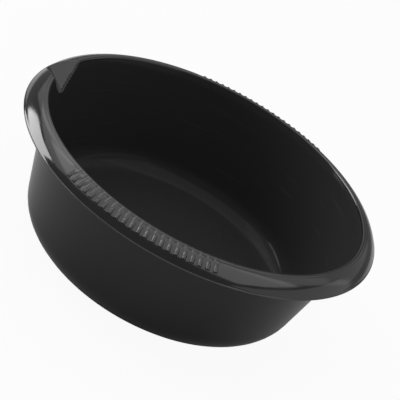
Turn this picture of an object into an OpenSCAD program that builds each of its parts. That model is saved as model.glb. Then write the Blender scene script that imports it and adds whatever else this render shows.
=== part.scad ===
// Hair color bowl: a moulded bowl with a turned-over rim, two ribbed grip stretches
// and a V-shaped pouring lip, standing on a rubber ring that is pressed into its foot.
// The origin is the middle of the bowl on the table, and the pouring lip points to -X.

/* [Bowl] */
// Outer diameter of the rim
rim_d = 140; // [115:1:180]
// Height from the table to the top of the rim
bowl_h = 48.5; // [39:0.5:70]
// Thickness of the side wall
wall_t = 1.2; // [1:0.1:1.6]
// Lean of the wall away from upright, in degrees
draft = 11.5; // [7:0.1:14]
// Radius of the round corner between the wall and the foot
corner_r = 12; // [9:0.5:15]
// Thickness of the floor above the foot
floor_t = 3; // [2.8:0.1:4]
// Radius of the fillet between the floor and the wall inside
fillet_r = 10; // [6:0.5:14]
// Radius of the curve that opens the wall out to the mouth
flare_r = 16; // [12:0.5:24]

/* [Rim] */
// Distance from the outermost edge of the rim in to the wall below it
rim_over = 7.5; // [7:0.1:9]
// Radius of the rounded face of the rim
face_r = 9.4; // [8:0.1:12]
// Height that the face falls from its inner to its outer edge
face_fall = 4.7; // [4.2:0.1:5.4]
// Thickness of the turned-over rim
rim_t = 1.9; // [1.6:0.1:2.4]
// Radius of the bead round the mouth
bead_r = 0.8; // [0.5:0.05:1]
// Step from the bead down to the face of the rim
face_drop = 0.2; // [0.1:0.05:0.4]
// Radius of the fine groove that parts the bead from the face
groove_r = 0.4; // [0.3:0.05:0.6]
// Radius of the small bead along the lower edge of the face
hem_r = 0.3; // [0.2:0.05:0.4]

/* [Grip ribs] */
// Number of ribs in each of the two ribbed stretches
rib_count = 22; // [8:1:30]
// Distance from one rib to the next along the outermost edge
rib_pitch = 2.84; // [2.4:0.02:4]
// Radius of a rib, which is a straight round bar
rib_r = 0.75; // [0.5:0.05:0.95]
// Where the middle of a rib's outer end lies on the face's curve, in degrees
rib_end = 45; // [40:1:50]
// Depth of a rib's middle under the face at its inner end
rib_sink = 0.6; // [0.4:0.05:0.8]

/* [Pouring lip] */
// Width of the lip at the mouth
lip_w = 23; // [14:0.5:28]
// Height from the tip of the lip up to the top of the rim
lip_drop = 10.3; // [8:0.1:14]
// Rise of the lip's valley from level, in degrees
lip_rise = 38.5; // [36:0.5:48]
// Width of the flat strip along the valley
lip_floor_w = 3; // [1:0.2:6]
// Turn of the lip away from square to the two ribbed stretches, in degrees
lip_turn = 3.5; // [0:0.1:4]

/* [Foot and rubber ring] */
// Width of the foot's land outside the ring
outer_land_w = 1.5; // [1:0.1:3]
// Width of the foot's land inside the ring
inner_land_w = 1.6; // [1.2:0.1:3]
// Width of the rubber ring
ring_w = 6; // [4:0.1:8]
// Height of the rubber ring
ring_h = 2.2; // [1.8:0.1:2.6]
// Height of the foot above the table, because the ring stands proud of it
ring_drop = 0.6; // [0.4:0.1:0.8]
// Clearance on each side of the ring in its groove
ring_fit = 0.05; // [0.02:0.01:0.1]
// Number of grip grooves round the underside of the ring
grip_groove_count = 3; // [1:1:4]
// Radius of a grip groove
grip_groove_r = 0.35; // [0.2:0.05:0.4]
// Depth of the hollow in the middle of the foot
hollow_depth = 1.2; // [0.8:0.1:1.4]
// Diameter of the round moulding gate mark in that hollow
gate_d = 5; // [3:0.5:8]

/* [Hidden] */
$fn = 144;
bite = 0.002;                              // curves pass the wall's line by this much

rim_r = rim_d / 2;
face_top_z = bowl_h - face_drop;
skirt_z = face_top_z - face_fall - hem_r;  // lower edge of the rim
wall_r = rim_r - rim_over;                 // outside of the wall, level with the rim's edge
flare_z = skirt_z + 1.5;                   // the wall starts to curve outwards here
flare_x = wall_at(flare_z, wall_t) + flare_r * cos(draft);
flare_mid_z = flare_z - flare_r * sin(draft);
mouth_r = flare_x - sqrt(pow(flare_r, 2) - pow(bowl_h - bead_r - flare_mid_z, 2));
groove_x = mouth_r + 2 * bead_r + groove_r / 2;
floor_z = ring_drop + floor_t;

// the face's curve runs from the groove to just inside the hem; its centre follows from
// the chord between these two ends
face_out_x = rim_r - hem_r / 2;
face_chord = norm([face_out_x - groove_x, face_fall]);
face_back = sqrt(pow(face_r, 2) - pow(face_chord / 2, 2)) / face_chord;
face_x = (groove_x + face_out_x) / 2 - face_back * face_fall;
face_z = face_top_z - face_fall / 2 - face_back * (face_out_x - groove_x);

rib_step = 360 * rib_pitch / (2 * PI * rim_r);
rib_out_x = face_x + face_r * cos(rib_end);
rib_out_z = face_z + face_r * sin(rib_end);
rib_start = acos((groove_x - face_x) / face_r) - 4;
rib_in_x = face_x + (face_r - rib_sink) * cos(rib_start);
rib_in_z = face_z + (face_r - rib_sink) * sin(rib_start);

lip_tip_z = bowl_h - lip_drop;
lip_tip_r = wall_at(lip_tip_z, wall_t);
lip_mouth_x = sqrt(pow(mouth_r, 2) - pow(lip_w / 2, 2));
lip_mouth_n = lip_drop * cos(lip_rise) - (lip_mouth_x - lip_tip_r) * sin(lip_rise);
lip_slope = 2 * lip_mouth_n / (lip_w - lip_floor_w);
lip_top_n = lip_drop;                      // the cut is this high above the valley
lip_start = -6;                            // and starts well inside the bowl

foot_r = wall_at(ring_drop + corner_r, 0) - corner_r / cos(draft);
ring_out_r = foot_r - outer_land_w - ring_fit;
ring_in_r = ring_out_r - ring_w;
hollow_r = ring_in_r - ring_fit - inner_land_w;

// Radius at height z of the wall's face that lies t inside the outer one
function wall_at(z, t) = wall_r - t / cos(draft) - (skirt_z - z) * tan(draft);

// Filled outline of the tub: floor at z0, round corner, leaning wall and flare.
// Its wall lies t inside the outer face.
module tub_outline(z0, corner, t, top) {
    corner_z = z0 + corner;
    meet_r = corner - bite;
    corner_x = wall_at(corner_z, t) - meet_r / cos(draft);
    curve_r = flare_r - wall_t + t;
    difference() {
        polygon([
            [0, z0],
            [corner_x, z0],
            [corner_x + meet_r * cos(draft), corner_z - meet_r * sin(draft)],
            [flare_x - curve_r * cos(draft), flare_mid_z + curve_r * sin(draft)],
            [flare_x, flare_mid_z],
            [flare_x, top],
            [0, top]
        ]);
        translate([flare_x, flare_mid_z])
            circle(curve_r + bite);
    }
    translate([corner_x, corner_z])
        circle(corner);
}

// Outline of the turned-over rim as a solid: level top, rounded face and hem
module rim_outline() {
    intersection() {
        rim_core(0);
        translate([0, skirt_z + hem_r])
            square([rim_r, face_fall]);
    }
    translate([0, skirt_z])
        square([rim_r - hem_r, 2 * hem_r]);
    translate([rim_r - hem_r, skirt_z + hem_r])
        circle(hem_r, $fn = 32);
}

// Outline of all that lies deeper than t under the face of the rim, open downwards
module rim_core(t) {
    translate([face_x, face_z])
        circle(face_r - t);
    square([face_x, face_z + face_r - t]);
}

// Outline of the bowl without its inside: tub, rim, mouth bead and its groove
module outer_outline() {
    bead_x = mouth_r + bead_r;
    bead_z = bowl_h - bead_r;
    difference() {
        union() {
            intersection() {
                tub_outline(ring_drop, corner_r, 0, bowl_h);
                square([rim_r, face_top_z]);
            }
            difference() {
                rim_outline();
                rim_core(rim_t);
            }
            translate([0, bead_z])
                square([bead_x, bead_r]);
            translate([bead_x, bead_z])
                circle(bead_r, $fn = 48);
        }
        translate([groove_x, bowl_h])
            circle(groove_r + face_drop, $fn = 32);
    }
}

// Outline of the bowl's inside, which leaves the bead standing round the mouth
module inner_outline() {
    difference() {
        tub_outline(floor_z, fillet_r, wall_t, bowl_h + 1);
        translate([mouth_r + bead_r, bowl_h - bead_r])
            circle(bead_r, $fn = 48);
    }
}

// One rib: a straight bar that comes out of the rim's curved face on its way outwards
module rib() {
    run = [rib_in_x - rib_out_x, rib_in_z - rib_out_z];
    translate([rib_out_x, 0, rib_out_z])
        rotate([0, atan2(run[0], run[1]), 0])
            cylinder(r = rib_r, h = norm(run), $fn = 32);
}

module grip_ribs() {
    for (side = [-90, 90], i = [0 : rib_count - 1])
        rotate([0, 0, side + (i - (rib_count - 1) / 2) * rib_step])
            rib();
}

// A V-shaped trough that rises outwards along the lip, with its faces moved out by t
module lip_trough(t) {
    lean = sqrt(1 + pow(lip_slope, 2));
    half_floor = lip_floor_w / 2 + t * (lean - 1) / lip_slope;
    half_top = lip_floor_w / 2 + (lip_top_n + t * lean) / lip_slope;
    rotate([0, 0, 180 + lip_turn])
        translate([lip_tip_r, 0, lip_tip_z])
            rotate([0, -lip_rise, 0])
                translate([lip_start, 0, 0])
                    rotate([90, 0, 90])
                        linear_extrude(height = rim_r / 2)
                            polygon([
                                [-half_floor, -t],
                                [half_floor, -t],
                                [half_top, lip_top_n],
                                [-half_top, lip_top_n]
                            ]);
}

// The lip's own wall, which stands out below the rim as a keel. It ends halfway
// into the rim's shell.
module lip_keel() {
    intersection() {
        lip_trough(wall_t);
        rotate_extrude()
            rim_core(rim_t / 2);
    }
}

// The ring's groove and the shallow hollow, both open to below, with the gate mark left on
module foot_cuts() {
    translate([0, 0, -1])
        difference() {
            cylinder(r = ring_out_r + ring_fit, h = ring_h + 1);
            translate([0, 0, -1])
                cylinder(r = ring_in_r - ring_fit, h = ring_h + 3);
        }
    difference() {
        translate([0, 0, -1])
            cylinder(r = hollow_r, h = ring_drop + hollow_depth + 1);
        translate([0, 0, ring_drop + hollow_depth / 2])
            cylinder(d = gate_d, h = hollow_depth);
    }
}

module bowl_shell() {
    color([0.13, 0.13, 0.14]) {
        difference() {
            union() {
                rotate_extrude()
                    outer_outline();
                lip_keel();
                grip_ribs();
            }
            rotate_extrude()
                inner_outline();
            lip_trough(0);
            foot_cuts();
        }
    }
}

module base_grip_ring() {
    color([0.07, 0.07, 0.075])
        rotate_extrude()
            difference() {
                translate([ring_in_r, 0])
                    square([ring_w, ring_h]);
                for (i = [1 : grip_groove_count])
                    translate([ring_in_r + ring_w * i / (grip_groove_count + 1), 0])
                        circle(grip_groove_r, $fn = 32);
            }
}

bowl_shell();
base_grip_ring();
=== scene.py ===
import math

import bpy
import numpy as np
from mathutils import Matrix, Vector


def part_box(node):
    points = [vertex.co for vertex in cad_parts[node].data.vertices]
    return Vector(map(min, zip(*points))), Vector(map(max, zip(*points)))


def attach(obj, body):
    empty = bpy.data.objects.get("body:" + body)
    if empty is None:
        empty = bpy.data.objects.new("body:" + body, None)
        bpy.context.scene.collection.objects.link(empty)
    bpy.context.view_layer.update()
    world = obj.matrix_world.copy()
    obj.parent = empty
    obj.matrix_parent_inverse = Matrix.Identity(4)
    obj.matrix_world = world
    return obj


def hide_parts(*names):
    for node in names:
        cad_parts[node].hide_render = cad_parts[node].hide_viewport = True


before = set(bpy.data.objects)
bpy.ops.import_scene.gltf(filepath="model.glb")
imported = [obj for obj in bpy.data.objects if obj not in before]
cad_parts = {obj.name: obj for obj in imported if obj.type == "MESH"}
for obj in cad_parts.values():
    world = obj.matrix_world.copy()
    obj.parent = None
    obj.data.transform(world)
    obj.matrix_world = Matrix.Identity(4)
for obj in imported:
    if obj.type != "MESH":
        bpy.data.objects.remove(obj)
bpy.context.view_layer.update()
mm = 0.001
print("frame loaded:", sorted(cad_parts))

shellLow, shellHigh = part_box("bowl_shell")
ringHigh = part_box("base_grip_ring")[1]

# the bowl, in mm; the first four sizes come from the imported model
bowl = {
    "rimRadius": (shellHigh.x - shellLow.x) / 2 / mm,
    "height": shellHigh.z / mm,
    "footHeight": shellLow.z / mm,
    "ringHeight": ringHigh.z / mm,
    "wall": 1.2,
    "draft": math.radians(11.5),
    "cornerRadius": 12.0,
    "floor": 3.0,
    "filletRadius": 10.0,
    "flareRadius": 16.0,
    "flareAboveRimEdge": 1.5,
    "rimOver": 7.5,
    "faceRadius": 9.4,
    "faceFall": 4.7,
    "faceDrop": 0.2,
    "rimThickness": 1.9,
    "beadRadius": 0.8,
    "beadSide": 77.3,               # degrees on the face's curve, where the bead comes down to it
    "grooveRadius": 0.6,
    "grooveOut": 0.2,               # distance of the groove's middle from the bead
    "grooveDepth": 0.03,            # of the fine groove beside the bead, below the face
    "hemRadius": 0.3,
    "hemRound": 0.2,                # radius of the hem's own edge
    "outerLand": 1.5,
    "ringWidth": 6.0,
    "ringFit": 0.05,
    "innerLand": 1.6,
    "hollow": 1.2,
    "gateRadius": 2.5,
    "edgeRound": 0.2,
}

ribs = {
    "count": 22,
    "pitch": 2.84,                  # mm along the outermost edge
    "radius": 0.75,
    "end": math.radians(45),        # place of the outer end on the face's curve
    "sink": 0.36,                   # depth of the bar's middle at its inner end
    "gapDepth": 0.09,               # mm by which the gaps lie lower, beside the bead
    "gapFromEdge": 3.2,             # mm from the outermost edge at which the gaps are level again
}

lip = {
    "width": 23.0,
    "drop": 10.3,
    "rise": math.radians(38.5),
    "floorWidth": 3.0,
    "turn": math.radians(3.5),
    "edgeRound": 0.2,               # mm, softness of the lip's edges
    "reach": math.radians(24),      # half of the sector that the trough is pushed into
    "columns": 81,
}

ring = {
    "grooves": 3,
    "grooveRadius": 0.35,
    "edgeRound": 0.25,
    "columns": 180,
}


def wallAt(z, inset):
    # radius of the leaning wall's face at height z, inset from the outside
    b = bowl
    return b["wallTop"] - inset / math.cos(b["draft"]) - (b["rimEdge"] - z) * math.tan(b["draft"])


def workOutBowl():
    b = bowl
    faceTop = b["height"] - b["faceDrop"]
    b["rimEdge"] = faceTop - b["faceFall"] - b["hemRadius"]
    b["wallTop"] = b["rimRadius"] - b["rimOver"]
    b["floorZ"] = b["footHeight"] + b["floor"]
    flareZ = b["rimEdge"] + b["flareAboveRimEdge"]
    b["flareX"] = wallAt(flareZ, b["wall"]) + b["flareRadius"] * math.cos(b["draft"])
    b["flareZ"] = flareZ - b["flareRadius"] * math.sin(b["draft"])
    b["beadZ"] = b["height"] - b["beadRadius"]
    mouth = b["flareX"] - math.sqrt(b["flareRadius"] ** 2 - (b["beadZ"] - b["flareZ"]) ** 2)
    b["mouth"] = mouth
    b["beadX"] = mouth + b["beadRadius"]
    b["grooveX"] = mouth + 2 * b["beadRadius"] + b["grooveOut"]
    # the face's curve runs from the groove to the hem; its centre follows from the chord
    outX = b["rimRadius"] - b["hemRadius"] / 2
    run = outX - b["grooveX"]
    chord = math.hypot(run, b["faceFall"])
    back = math.sqrt(b["faceRadius"] ** 2 - (chord / 2) ** 2) / chord
    b["faceX"] = (b["grooveX"] + outX) / 2 - back * b["faceFall"]
    b["faceZ"] = faceTop - b["faceFall"] / 2 - back * run
    cornerOut = wallAt(b["footHeight"] + b["cornerRadius"], 0)
    b["footRadius"] = cornerOut - b["cornerRadius"] / math.cos(b["draft"])
    b["ringOut"] = b["footRadius"] - b["outerLand"] - b["ringFit"]
    b["ringIn"] = b["ringOut"] - b["ringWidth"]
    b["hollowRadius"] = b["ringIn"] - b["ringFit"] - b["innerLand"]


def workOutRibs():
    # a rib's middle line, from the centre of the face's curve
    b, r = bowl, ribs
    r["step"] = r["pitch"] / b["rimRadius"]
    r["start"] = math.acos((b["grooveX"] - b["faceX"]) / b["faceRadius"]) - math.radians(4)
    outX, outZ = b["faceRadius"] * math.cos(r["end"]), b["faceRadius"] * math.sin(r["end"])
    inner = b["faceRadius"] - r["sink"]
    inX, inZ = inner * math.cos(r["start"]), inner * math.sin(r["start"])
    r["along"] = math.atan2(inZ - outZ, inX - outX)
    r["normal"] = r["along"] - math.pi / 2
    r["axisAway"] = outX * math.cos(r["normal"]) + outZ * math.sin(r["normal"])
    r["axisStart"] = outX * math.cos(r["along"]) + outZ * math.sin(r["along"])


def workOutLip():
    b, p = bowl, lip
    p["tipZ"] = b["height"] - p["drop"]
    p["tipR"] = wallAt(p["tipZ"], b["wall"])
    mouthX = math.sqrt(b["mouth"] ** 2 - (p["width"] / 2) ** 2)
    mouthN = p["drop"] * math.cos(p["rise"]) - (mouthX - p["tipR"]) * math.sin(p["rise"])
    p["slope"] = 2 * mouthN / (p["width"] - p["floorWidth"])


workOutBowl()
workOutRibs()
workOutLip()


def arc(cx, cz, r, a0, a1, n):
    # points round a circle from angle a0 to a1, in degrees
    a = np.radians(np.linspace(a0, a1, n))
    return np.column_stack([cx + r * np.cos(a), cz + r * np.sin(a)])


def line(x0, z0, x1, z1, n):
    t = np.linspace(0, 1, n)[:, None]
    return np.array([[x0, z0]]) * (1 - t) + np.array([[x1, z1]]) * t


def meetCircles(first, second, side):
    # crossing of two circles (x, z, radius), as its angle seen from the first and from the
    # second; side 1 is the crossing on the left of the line between the centres, -1 the other
    (x0, z0, r0), (x1, z1, r1) = first, second
    away = math.hypot(x1 - x0, z1 - z0)
    part = (r0 ** 2 - r1 ** 2 + away ** 2) / (2 * away)
    up = side * math.sqrt(r0 ** 2 - part ** 2)
    ux, uz = (x1 - x0) / away, (z1 - z0) / away
    x, z = x0 + part * ux - up * uz, z0 + part * uz + up * ux
    return math.degrees(math.atan2(z - z0, x - x0)), math.degrees(math.atan2(z - z1, x - x1))


def roundCorners(points, radii, n):
    # replaces each inner corner of an open outline by a small curve, with a point on each
    # side of it that keeps the shading of the flat faces flat
    out = [points[0]]
    for i in range(1, len(points) - 1):
        p, r = points[i], radii[i]
        if r <= 0:
            out.append(p)
            continue
        a, c = points[i - 1] - p, points[i + 1] - p
        la, lc = np.linalg.norm(a), np.linalg.norm(c)
        q0, q1 = p + a / la * min(r, 0.4 * la), p + c / lc * min(r, 0.4 * lc)
        out.append(p + a / la * min(1.6 * r, 0.48 * la))
        for t in np.linspace(0, 1, n):
            out.append((1 - t) ** 2 * q0 + 2 * t * (1 - t) * p + t ** 2 * q1)
        out.append(p + c / lc * min(1.6 * r, 0.48 * lc))
    out.append(points[-1])
    return np.array(out)


def insideRows():
    # middle of the floor, fillet, wall and flare up to the bead; on the wall the rows lie
    # closer from a little under the lip's tip upwards
    b = bowl
    lean = math.degrees(b["draft"])
    fz, fr = b["floorZ"], b["filletRadius"]
    fx = wallAt(fz + fr, b["wall"]) - fr / math.cos(b["draft"])
    z0 = fz + fr - fr * math.sin(b["draft"]) + 1
    z1 = lip["tipZ"] - 3
    z2 = b["flareZ"] + b["flareRadius"] * math.sin(b["draft"])
    top = math.degrees(math.asin((b["beadZ"] - b["flareZ"]) / b["flareRadius"]))
    return [
        line(0, fz, fx * 0.97, fz, 3),
        arc(fx, fz + fr, fr, -90, -lean, 11),
        line(wallAt(z0, b["wall"]), z0, wallAt(z1, b["wall"]), z1, 4),
        line(wallAt(z1, b["wall"]), z1, wallAt(z2, b["wall"]), z2, 10)[1:],
        arc(b["flareX"], b["flareZ"], b["flareRadius"], 180 - lean, 180 - top + 0.6, 7)[1:],
    ]


def rimRows():
    # bead, groove, face and hem. Each arc stops a few degrees short of the next one, so that
    # the edge between them is soft, and the face's rows lie close together where the ribs end.
    b, r = bowl, ribs
    bead = (b["beadX"], b["beadZ"], b["beadRadius"])
    grooveZ = b["height"] - b["faceDrop"] - b["grooveDepth"] + b["grooveRadius"]
    groove = (b["grooveX"], grooveZ, b["grooveRadius"])
    face = (b["faceX"], b["faceZ"], b["faceRadius"])
    hem = (b["rimRadius"] - b["hemRound"], b["rimEdge"] + b["hemRound"] + 0.1, b["hemRound"])
    crestEnd, grooveStart = meetCircles(face, groove, 1)
    faceStart, grooveEnd = meetCircles(face, groove, -1)
    faceEnd, hemStart = meetCircles(face, hem, 1)
    start, end = math.degrees(r["start"]), math.degrees(r["end"])
    places = np.concatenate([
        [faceStart - 0.25],
        np.linspace(start - 0.1, end + 2.4, 11),
        np.linspace(end + 1.9, end, 6),
        [end - 0.3],
        np.linspace(end - 2, faceEnd + 0.3, 5),
    ])
    facePoints = [arc(*face, a, a, 1) for a in places]
    return [
        arc(*bead, 172, 100, 6),
        arc(*face, b["beadSide"], crestEnd + 0.3, 2),
        arc(*groove, grooveStart + 6, grooveEnd - 6, 5),
        *facePoints,
        arc(*hem, hemStart - 8, -90, 6),
    ]


def underRows():
    # lower edge of the rim, the channel under it, the outer wall, the corner and the foot,
    # where e is how far its edges are rounded
    b, e = bowl, bowl["edgeRound"]
    lean = math.degrees(b["draft"])
    cr = b["faceRadius"] - b["rimThickness"]
    channel = (b["faceX"], b["faceZ"], cr)
    flare = (b["flareX"], b["flareZ"], b["flareRadius"] - b["wall"])
    channelOut = math.degrees(math.asin((b["rimEdge"] - b["faceZ"]) / cr))
    channelIn, flareTop = meetCircles(channel, flare, 1)
    channelX = b["faceX"] + cr * math.cos(math.radians(channelOut))
    z3 = b["flareZ"] + flare[2] * math.sin(b["draft"])
    oz = b["footHeight"] + b["cornerRadius"]
    zEnd = oz - b["cornerRadius"] * math.sin(b["draft"])
    zMid = lip["tipZ"] - 5
    gOut, gIn = b["ringOut"] + b["ringFit"], b["ringIn"] - b["ringFit"]
    foot, deep = b["footHeight"], b["footHeight"] + b["hollow"]
    gateZ = foot + b["hollow"] / 2
    roof = b["ringHeight"]
    hollow, gate = b["hollowRadius"], b["gateRadius"]
    corners = np.array([
        [b["footRadius"] - 0.5, foot],
        [gOut, foot], [gOut, roof], [gIn, roof], [gIn, foot],
        [hollow, foot], [hollow, deep], [gate, deep], [gate, gateZ], [0, gateZ],
    ])
    return [
        line(b["rimRadius"] - b["hemRound"] - 0.3, b["rimEdge"], channelX + e, b["rimEdge"], 2),
        arc(*channel, channelOut + 1.5, channelIn - 1.5, 7),
        arc(*flare, flareTop + 1, 180 - lean, 4),
        line(wallAt(z3, 0), z3, wallAt(zMid, 0), zMid, 11)[1:],
        line(wallAt(zMid, 0), zMid, wallAt(zEnd + 1, 0), zEnd + 1, 3)[1:],
        arc(b["footRadius"], oz, b["cornerRadius"], -lean, -90, 11),
        roundCorners(corners, [0, e, 0, 0, e, e, e, e, 0, 0], 2),
    ]


def shellColumns():
    # azimuths round the bowl. In the ribbed stretches each column has a rib and a place t
    # across it: -1 to 1 lies on the rib, and 2 is the middle of the gap beside it.
    r, reach, turn = ribs, lip["reach"], lip["turn"]
    across = (-1.12, -1, -0.94, -0.8, -0.45, 0, 0.45, 0.8, 0.94, 1, 1.12, 2)
    half = r["count"] * r["step"] / 2
    columns = []
    for side in (-math.pi / 2, math.pi / 2):
        for i in range(r["count"]):
            middle = side + (i - (r["count"] - 1) / 2) * r["step"]
            columns += [(middle, t, 1.0) for t in across]
    # the lip's columns lie closest together at its middle
    even = np.linspace(-1, 1, lip["columns"])
    lipAzimuths = math.pi + turn + reach * (0.35 * even ** 3 + 0.65 * even)
    plain = [
        np.linspace(half - math.pi / 2, math.pi / 2 - half, 56)[1:],
        np.linspace(math.pi / 2 + half, math.pi + turn - reach, 14)[1:-1],
        lipAzimuths,
        np.linspace(math.pi + turn + reach, 3 * math.pi / 2 - half, 12)[1:],
    ]
    columns += [(a, 0.0, 0.0) for block in plain for a in block]
    middle, t, ribbed = np.array(columns).T
    # the columns run once round the bowl, from the start of the ribbed stretch on -Y
    key = np.mod(middle + ribbed * t * r["step"] / 4 + math.pi / 2 + half + 0.001, 2 * math.pi)
    order = np.argsort(key, kind="stable")
    return middle[order], t[order], ribbed[order]


def ribRows(outline):
    # for each row, the angle on the face's curve, and half the width at which a rib comes out
    # of it: the bar's radius and the depth of its middle are two sides of a right triangle.
    # Elsewhere the columns only need some width between them.
    b, r = bowl, ribs
    dx, dz = outline[:, 0] - b["faceX"], outline[:, 1] - b["faceZ"]
    angle = np.arctan2(dz, dx)
    tiny = 1e-6
    onCurve = np.abs(np.hypot(dx, dz) - b["faceRadius"]) < tiny
    onFace = onCurve & (angle < r["start"]) & (angle > r["end"] - tiny)
    depth = b["faceRadius"] * np.cos(angle - r["normal"]) - r["axisAway"]
    narrowest, offFace = 0.2, 0.6
    half = np.sqrt(np.maximum(r["radius"] ** 2 - depth ** 2, narrowest ** 2))
    return angle, onFace, np.where(onFace, half, offFace)


def ribHeight(angle, onFace, offset):
    # how far a straight round bar stands above the curved face: its top and its flat outer
    # end, each as a distance from the centre of the face's curve
    b, r = bowl, ribs
    rise = np.sqrt(np.maximum(r["radius"] ** 2 - offset ** 2, 0))
    top = (r["axisAway"] + rise) / np.cos(angle - r["normal"])
    end = r["axisStart"] / np.cos(angle - r["along"])
    height = np.minimum(top, end) - b["faceRadius"]
    return np.where(onFace & (np.abs(offset) < r["radius"]), np.maximum(height, 0), 0)


def softMin(a, c, k):
    # the lower of two heights, blended over about k so that the edge is round
    h = np.clip(0.5 + 0.5 * (c - a) / k, 0, 1)
    return c * (1 - h) + a * h - k * h * (1 - h)


def sinkLip(x, y, z, lower):
    # pushes the points in the lip's sector down to its V-shaped trough. In the lip's own
    # axes s runs up along the valley, w across it, and n stands off its floor.
    p, b = lip, bowl
    ct, st = math.cos(p["turn"]), math.sin(p["turn"])
    out, w = -x * ct - y * st, x * st - y * ct
    c, s = math.cos(p["rise"]), math.sin(p["rise"])
    u, h = out - p["tipR"], z - p["tipZ"]
    along, n = u * c + h * s, h * c - u * s
    lean = math.hypot(1, p["slope"])
    offset = np.where(lower, b["wall"], 0.0)
    halfFloor = p["floorWidth"] / 2 + offset * (lean - 1) / p["slope"]
    k = p["edgeRound"]
    overFloor = np.abs(w) - halfFloor
    trough = p["slope"] * (overFloor + np.sqrt(overFloor ** 2 + (2 * k) ** 2)) / 2 - offset
    inSector = np.abs(np.arctan2(w, out)) < p["reach"]
    nearRim = (np.hypot(x, y) > 0.8 * b["wallTop"]) & (along > -8)
    n = np.where(inSector & nearRim, softMin(n, trough, k), n)
    out, z = along * c - n * s + p["tipR"], along * s + n * c + p["tipZ"]
    return -out * ct + w * st, -out * st - w * ct, z


def gridMesh(name, rings):
    # rings: rows x columns x 3, closed round the columns; the first and last row are poles
    rows, cols = rings.shape[:2]
    verts = np.vstack([rings[0, :1], rings[1:-1].reshape(-1, 3), rings[-1, :1]])
    first = 1 + np.arange(rows - 2)[:, None] * cols + np.arange(cols)
    nxt = np.roll(first, -1, axis=1)
    quads = np.stack([first[:-1], first[1:], nxt[1:], nxt[:-1]], axis=-1).reshape(-1, 4)
    start = np.stack([np.zeros(cols, int), first[0], nxt[0]], axis=-1)
    last = np.full(cols, len(verts) - 1)
    end = np.stack([last, nxt[-1], first[-1]], axis=-1)
    mesh = bpy.data.meshes.new(name)
    mesh.from_pydata(verts.tolist(), [], [*start.tolist(), *quads.tolist(), *end.tolist()])
    mesh.polygons.foreach_set("use_smooth", np.ones(len(mesh.polygons), bool))
    mesh.update()
    return mesh


def makeObject(name, mesh, material):
    obj = bpy.data.objects.new(name, mesh)
    bpy.context.scene.collection.objects.link(obj)
    mesh.materials.append(material)
    return obj


def spreadColumns(outline, onFace, half):
    # the azimuth of every point, and how far it lies from the middle of its rib
    middle, t, ribbed = shellColumns()
    halfAngle = half / np.where(onFace, outline[:, 0], bowl["rimRadius"])
    gapAngle = ribs["step"] / 2 - halfAngle
    beyond = np.maximum(np.abs(t) - 1, 0)
    place = np.clip(t, -1, 1) * halfAngle[:, None] + np.sign(t) * beyond * gapAngle[:, None]
    offset = np.where(np.abs(t) <= 1, t * half[:, None], ribs["radius"])
    inside, between = np.abs(t) < 1, (np.abs(t) > 1) & (ribbed > 0)
    return middle + ribbed * place, offset, inside & (ribbed > 0), between


def gapDepths(radius, upper):
    # beside the bead the gaps between the ribs are sunk a little, so that the ribs run on as
    # far as it; the depth fades out on both sides, and under the rim there is none
    fadeEnd = bowl["rimRadius"] - ribs["gapFromEdge"]
    fade = np.clip((radius - bowl["beadX"] - 0.3) / 0.4, 0, 1) * np.clip((fadeEnd - radius) / 1.2, 0, 1)
    return np.where(upper, ribs["gapDepth"] * fade, 0)


def markZones(mesh, counts, sunk):
    # the sheen is 1 on the rim and on the lip's faces, 0 inside, and lower again outside
    sheenRange = plastic["rimSheen"] - plastic["insideSheen"]
    outside = (plastic["outsideSheen"] - plastic["insideSheen"]) / sheenRange
    for name, levels in (("sheen", (0.0, 1.0, outside)), ("inside", (1.0, 0.0, 0.0))):
        rows = np.repeat(levels, counts)[:, None]
        field = np.where(sunk, levels[1], rows)
        values = np.concatenate([field[0, :1], field[1:-1].ravel(), field[-1, :1]])
        mesh.attributes.new(name, "FLOAT", "POINT").data.foreach_set("value", values)


def bowlShell(material):
    inner, rim, under = insideRows(), rimRows(), underRows()
    counts = [sum(len(part) for part in rows) for rows in (inner, rim, under)]
    outline = np.vstack(inner + rim + under)
    radius, upper = outline[:, 0], np.arange(len(outline)) < counts[0] + counts[1]
    angle, onFace, half = ribRows(outline)
    azimuth, offset, onRib, between = spreadColumns(outline, onFace, half)
    raised = ribHeight(angle[:, None], onFace[:, None] & onRib, offset)
    sunkGap = between * gapDepths(radius, upper)[:, None]
    r = radius[:, None] + raised * np.cos(angle)[:, None]
    z = outline[:, 1:] + raised * np.sin(angle)[:, None] - sunkGap
    lower = ~upper[:, None]
    x, y, pushed = sinkLip(r * np.cos(azimuth), r * np.sin(azimuth), z, lower)
    mesh = gridMesh("bowlShell", np.stack([x, y, pushed], axis=-1) * mm)
    markZones(mesh, counts, (np.abs(pushed - z) > 0.02) & ~lower)
    return makeObject("bowlShell", mesh, material)


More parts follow.
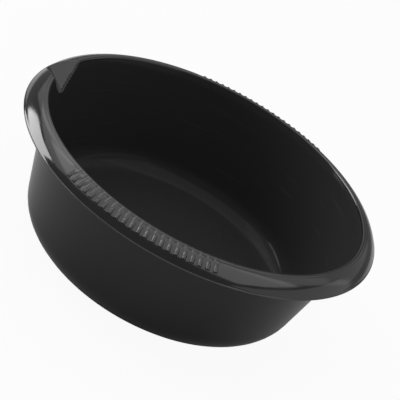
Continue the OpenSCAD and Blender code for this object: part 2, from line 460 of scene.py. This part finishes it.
def gripRing(material):
    b = bowl
    i, o, h, e = b["ringIn"], b["ringOut"], b["ringHeight"], ring["edgeRound"]
    corners = np.array([[(i + o) / 2, h], [o, h], [o, 0], [o - 0.6, 0]])
    outside = roundCorners(corners, [0, e, e, 0], 4)
    apart = b["ringWidth"] / (ring["grooves"] + 1)
    inwards = range(ring["grooves"], 0, -1)
    grooves = [arc(i + k * apart, 0, ring["grooveRadius"], 0, 180, 9) for k in inwards]
    corners = np.array([[i + 0.6, 0], [i, 0], [i, h], [(i + o) / 2 - 0.5, h]])
    outline = np.vstack([outside, *grooves, roundCorners(corners, [0, e, e, 0], 4)])
    cols = ring["columns"]
    a = np.linspace(0, 2 * math.pi, cols, endpoint=False)
    rows = len(outline)
    radius, z = outline[:, :1], outline[:, 1:]
    verts = np.stack([radius * np.cos(a), radius * np.sin(a), z + 0 * a], axis=-1) * mm
    here = np.arange(rows * cols).reshape(rows, cols)
    down, side = np.roll(here, -1, axis=0), np.roll(here, -1, axis=1)
    quads = np.stack([here, down, np.roll(down, -1, axis=1), side], axis=-1).reshape(-1, 4)
    mesh = bpy.data.meshes.new("gripRing")
    mesh.from_pydata(verts.reshape(-1, 3).tolist(), [], quads.tolist())
    mesh.polygons.foreach_set("use_smooth", np.ones(len(mesh.polygons), bool))
    mesh.update()
    return makeObject("gripRing", mesh, material)


plastic = {
    "colour": (0.012, 0.012, 0.0122, 1),
    "insidePaintedLight": (0.027, 0.027, 0.0275, 1),  # painted light: the same plastic made lighter inside, standing in for the light seen in the bowl
    "worn": (0.036, 0.036, 0.0365, 1),      # colour of the faint scuffs
    "roughness": (0.09, 0.17),              # clean and smudged
    "insideSheen": 0.06,
    "outsideSheen": 0.42,
    "rimSheen": 0.7,
    "ior": 1.49,
    "grain": (0.06, 0.00004),               # strength, and depth in metres
}

rubber = {
    "colour": (0.012, 0.012, 0.012, 1),
    "dusty": (0.03, 0.029, 0.028, 1),
    "roughness": (0.55, 0.75),
    "ior": 1.52,
    "grain": (0.3, 0.0001),
}

# how fine the marks are: smudges and grain per metre, scuffs per metre and round the bowl
markSizes = {
    "smudges": 75.0,
    "grain": 1800.0,
    "scuffsAcross": 900.0,
    "scuffsAround": 2.2,
}


def addNode(tree, kind, settings=None, inputs=None):
    # adds a node; each input is a plain value or the socket that feeds it
    made = tree.nodes.new(kind)
    for key, value in (settings or {}).items():
        setattr(made, key, value)
    for key, value in (inputs or {}).items():
        if isinstance(value, bpy.types.NodeSocket):
            tree.links.new(value, made.inputs[key])
        else:
            made.inputs[key].default_value = value
    return made


def mapRange(tree, value, low, high, outLow, outHigh):
    # stretches a value from one range to another and returns the result's socket
    made = addNode(tree, "ShaderNodeMapRange", None, {
        "Value": value, "From Min": low, "From Max": high, "To Min": outLow, "To Max": outHigh})
    return made.outputs["Result"]


def mathNode(tree, operation, first, second):
    return addNode(tree, "ShaderNodeMath", {"operation": operation}, {0: first, 1: second}).outputs[0]


def mixColour(tree, share, first, second):
    made = addNode(tree, "ShaderNodeMix", {"data_type": "RGBA"}, {0: share, 6: first, 7: second})
    return made.outputs[2]


def noise(tree, place, scale, detail, roughness=0.5):
    made = addNode(tree, "ShaderNodeTexNoise", None, {
        "Vector": place, "Scale": scale, "Detail": detail, "Roughness": roughness})
    return made.outputs["Fac"]


def surfaceMarks():
    # masks that both materials share: soft smudges, fine grain and thin round scuffs
    m = markSizes
    group = bpy.data.node_groups.new("surfaceMarks", "ShaderNodeTree")
    group.interface.new_socket("Vector", in_out="INPUT", socket_type="NodeSocketVector")
    for name in ("Smudge", "Grain", "Scuff"):
        group.interface.new_socket(name, in_out="OUTPUT", socket_type="NodeSocketFloat")
    place = group.nodes.new("NodeGroupInput").outputs["Vector"]
    smudge = noise(group, place, m["smudges"], 5.0, 0.6)
    grain = noise(group, place, m["grain"], 2.0)
    # scuffs run round the bowl: fine across radius and height, long round the axis
    parts = addNode(group, "ShaderNodeSeparateXYZ", None, {"Vector": place}).outputs
    turn = mathNode(group, "ARCTAN2", parts["Y"], parts["X"])
    flat = addNode(group, "ShaderNodeCombineXYZ", None, {"X": parts["X"], "Y": parts["Y"]}).outputs[0]
    away = addNode(group, "ShaderNodeVectorMath", {"operation": "LENGTH"}, {0: flat}).outputs["Value"]
    swirl = addNode(group, "ShaderNodeCombineXYZ", None, {
        "X": mathNode(group, "MULTIPLY", away, m["scuffsAcross"]),
        "Y": mathNode(group, "MULTIPLY", parts["Z"], m["scuffsAcross"]),
        "Z": mathNode(group, "MULTIPLY", turn, m["scuffsAround"]),
    }).outputs[0]
    scuff = noise(group, swirl, 1.0, 2.0)
    end = group.nodes.new("NodeGroupOutput")
    group.links.new(mapRange(group, smudge, 0.4, 0.68, 0.0, 1.0), end.inputs["Smudge"])
    group.links.new(grain, end.inputs["Grain"])
    group.links.new(mapRange(group, scuff, 0.62, 0.78, 0.0, 1.0), end.inputs["Scuff"])
    return group


def startMaterial(name, settings, marks):
    # a material with the shared masks, its index of refraction and its fine grain
    mat = bpy.data.materials.new(name)
    mat.use_nodes = True
    tree = mat.node_tree
    bsdf = tree.nodes["Principled BSDF"]
    place = addNode(tree, "ShaderNodeTexCoord").outputs["Object"]
    masks = addNode(tree, "ShaderNodeGroup", {"node_tree": marks}, {"Vector": place}).outputs
    strength, depth = settings["grain"]
    bump = addNode(tree, "ShaderNodeBump", None, {
        "Strength": strength, "Distance": depth, "Height": masks["Grain"]})
    tree.links.new(bump.outputs["Normal"], bsdf.inputs["Normal"])
    bsdf.inputs["IOR"].default_value = settings["ior"]
    return mat, tree, masks, bsdf


def bowlPlastic(marks):
    # moulded black plastic: glossier on the rim, where hands polish it, than inside and outside
    p = plastic
    mat, tree, masks, bsdf = startMaterial("bowlPlastic", p, marks)
    sheen = addNode(tree, "ShaderNodeAttribute", {"attribute_name": "sheen"}).outputs["Fac"]
    level = mapRange(tree, sheen, 0.0, 1.0, p["insideSheen"], p["rimSheen"])
    tree.links.new(level, bsdf.inputs["Specular IOR Level"])
    # the painted light (the lighter colour of the same plastic) and the scuffs are only inside
    inside = addNode(tree, "ShaderNodeAttribute", {"attribute_name": "inside"}).outputs["Fac"]
    colour = mixColour(tree, inside, p["colour"], p["insidePaintedLight"])
    scuffs = mathNode(tree, "MULTIPLY", masks["Scuff"], inside)
    tree.links.new(mixColour(tree, scuffs, colour, p["worn"]), bsdf.inputs["Base Color"])
    rough = mapRange(tree, masks["Smudge"], 0.0, 1.0, *p["roughness"])
    tree.links.new(rough, bsdf.inputs["Roughness"])
    return mat


def gripRubber(marks):
    r = rubber
    mat, tree, masks, bsdf = startMaterial("gripRubber", r, marks)
    colour = mixColour(tree, masks["Smudge"], r["colour"], r["dusty"])
    tree.links.new(colour, bsdf.inputs["Base Color"])
    rough = mapRange(tree, masks["Grain"], 0.3, 0.7, *r["roughness"])
    tree.links.new(rough, bsdf.inputs["Roughness"])
    return mat


marks = surfaceMarks()
shell = bowlShell(bowlPlastic(marks))
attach(shell, "root")
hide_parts("bowl_shell")
band = gripRing(gripRubber(marks))
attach(band, "root")
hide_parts("base_grip_ring")
print("pieces:", len(shell.data.polygons), "and", len(band.data.polygons), "faces")


floor = {
    "half": 4.0,            # metres
    "colour": (0.6, 0.6, 0.6, 1),
    "roughness": 0.9,
    "white": 0.94,          # share of plain white that the camera sees; the rest takes the shadow
}


def stageFloor():
    # a plain pale floor, which to the camera is nearly plain white
    f = floor
    h = f["half"]
    mesh = bpy.data.meshes.new("studioFloor")
    mesh.from_pydata([(-h, -h, 0), (h, -h, 0), (h, h, 0), (-h, h, 0)], [], [(0, 1, 2, 3)])
    mat = bpy.data.materials.new("studioFloor")
    mat.use_nodes = True
    tree = mat.node_tree
    bsdf = tree.nodes["Principled BSDF"]
    bsdf.inputs["Base Color"].default_value = f["colour"]
    bsdf.inputs["Roughness"].default_value = f["roughness"]
    bsdf.inputs["Specular IOR Level"].default_value = 0.0
    white = addNode(tree, "ShaderNodeEmission", None, {"Color": (1, 1, 1, 1), "Strength": 1.0})
    seen = addNode(tree, "ShaderNodeLightPath").outputs["Is Camera Ray"]
    share = mapRange(tree, seen, 0.0, 1.0, 0.0, f["white"])
    shaders = {0: share, 1: bsdf.outputs[0], 2: white.outputs[0]}
    mixed = addNode(tree, "ShaderNodeMixShader", None, shaders)
    tree.links.new(mixed.outputs[0], tree.nodes["Material Output"].inputs["Surface"])
    makeObject("studioFloor", mesh, mat)


# softboxes: azimuth (0 is the camera's side, positive to the right), elevation, distance,
# width, height (in metres) and radiance
lights = {
    "topSoftbox": (0, 85, 0.8, 1.7, 0.85, 1.05),
    "backFill": (180, 60, 0.9, 1.6, 0.5, 0.3),
    "leftSoftbox": (-95, 18, 1.0, 0.62, 0.42, 6.4),
    "leftHighFill": (-104, 48, 1.0, 1.1, 0.5, 0.85),
    "leftBackFill": (-148, 40, 1.1, 0.8, 0.8, 0.45),
    "rightFill": (95, 20, 1.0, 1.5, 0.6, 0.48),
    "rightBackFill": (145, 35, 1.1, 0.7, 0.9, 0.26),
}
roomLight = 0.2     # strength of the dim light from all round


def towards(azimuth, elevation):
    # direction from the bowl to a camera or a lamp
    a, e = math.radians(azimuth), math.radians(elevation)
    return Vector((math.sin(a) * math.cos(e), -math.cos(a) * math.cos(e), math.sin(e)))


def areaLight(name, azimuth, elevation, distance, width, height, radiance):
    # a softbox that faces the bowl; its power follows from how bright its face is
    target = Vector((0, 0, 0.03))
    back = towards(azimuth, elevation)
    data = bpy.data.lights.new(name, "AREA")
    data.shape = "RECTANGLE"
    data.size, data.size_y = width, height
    data.energy = radiance * math.pi * width * height
    obj = bpy.data.objects.new(name, data)
    bpy.context.scene.collection.objects.link(obj)
    obj.location = target + back * distance
    obj.rotation_euler = back.to_track_quat("Z", "Y").to_euler()


def studio():
    world = bpy.data.worlds.new("studio")
    bpy.context.scene.world = world
    world.use_nodes = True
    background = world.node_tree.nodes["Background"]
    background.inputs["Color"].default_value = (1, 1, 1, 1)
    background.inputs["Strength"].default_value = roomLight
    stageFloor()
    for name, values in lights.items():
        areaLight(name, *values)
    print("studio:", len(lights), "softboxes")


camera = {
    "azimuth": 7.9,
    "elevation": 28.55,
    "roll": 29.26,
    "lens": 102.222,        # mm, on a sensor 36 mm wide
    "distance": 6.0,        # in rim radii, as are the next two
    "side": 0.0583,
    "up": 0.4358,
}


def makeCamera():
    c = camera
    radius = bowl["rimRadius"] * mm
    a, roll = math.radians(c["azimuth"]), math.radians(c["roll"])
    right = Vector((math.cos(a), math.sin(a), 0))
    target = (right * c["side"] + Vector((0, 0, c["up"]))) * radius
    back = towards(c["azimuth"], c["elevation"])
    up = back.cross(right)
    x = right * math.cos(roll) + up * math.sin(roll)
    y = up * math.cos(roll) - right * math.sin(roll)
    data = bpy.data.cameras.new("camera")
    data.sensor_width = 36
    data.lens = c["lens"]
    data.clip_start = 0.01
    cam = bpy.data.objects.new("camera", data)
    bpy.context.scene.collection.objects.link(cam)
    place = Matrix((x, y, back)).transposed().to_4x4()
    place.translation = target + back * c["distance"] * radius
    cam.matrix_world = place
    bpy.context.scene.camera = cam


studio()
makeCamera()
bpy.context.scene.view_settings.view_transform = "Standard"
